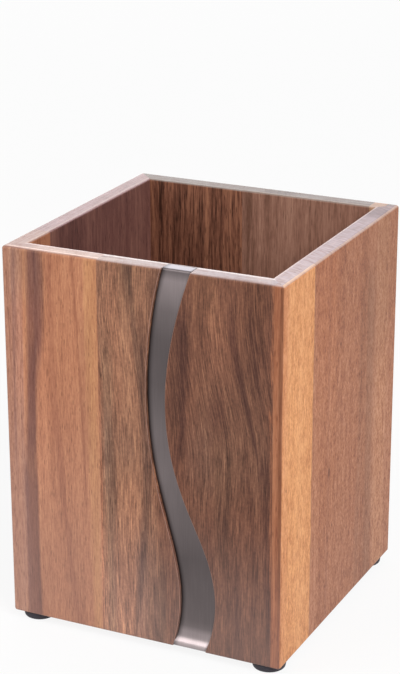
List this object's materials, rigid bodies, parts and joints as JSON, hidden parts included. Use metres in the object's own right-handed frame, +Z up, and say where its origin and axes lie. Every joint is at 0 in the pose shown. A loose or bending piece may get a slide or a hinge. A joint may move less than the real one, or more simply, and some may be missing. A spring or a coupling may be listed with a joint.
{
  "type": "utensil caddy",
  "caption": "Square open-topped wooden utensil caddy, glued up from staves with mitred corners, a curved steel strip let into the front, and round rubber feet.",
  "frame": {"origin": "centre of the square footprint, on the surface the feet stand on", "axes": "+X to the right seen from the front, +Y towards the back, +Z up; the face with the steel strip looks towards -Y"},
  "size_m": [0.12, 0.12, 0.1614],
  "materials": {
    "wood_orange": "satin",
    "wood_brown": "satin",
    "wood_red": "satin",
    "wood_honey": "satin",
    "wood_pink": "satin",
    "wood_dark": "satin",
    "strip_steel": "brushed",
    "strip_tape": "matte",
    "foot_rubber": "matte",
    "foot_glue": "matte"
  },
  "bodies": {
    "root": {"front_stave_left": "wood_orange", "front_stave_wide": "wood_brown", "front_stave_edge": "wood_red", "right_stave_front": "wood_honey", "right_stave_wide": "wood_pink", "back_stave_left": "wood_brown", "back_stave_right": "wood_brown", "back_stave_pale": "wood_honey", "back_stave_edge": "wood_brown", "left_stave_front": "wood_orange", "left_stave_wide": "wood_dark", "base_board_left": "wood_brown", "base_board_middle": "wood_pink", "base_board_right": "wood_brown", "steel_strip": "strip_steel", "strip_tape": "strip_tape", "foot_front_left": "foot_rubber", "foot_front_right": "foot_rubber", "foot_back_left": "foot_rubber", "foot_back_right": "foot_rubber", "foot_glue_discs": "foot_glue"}
  },
  "joints": []
}
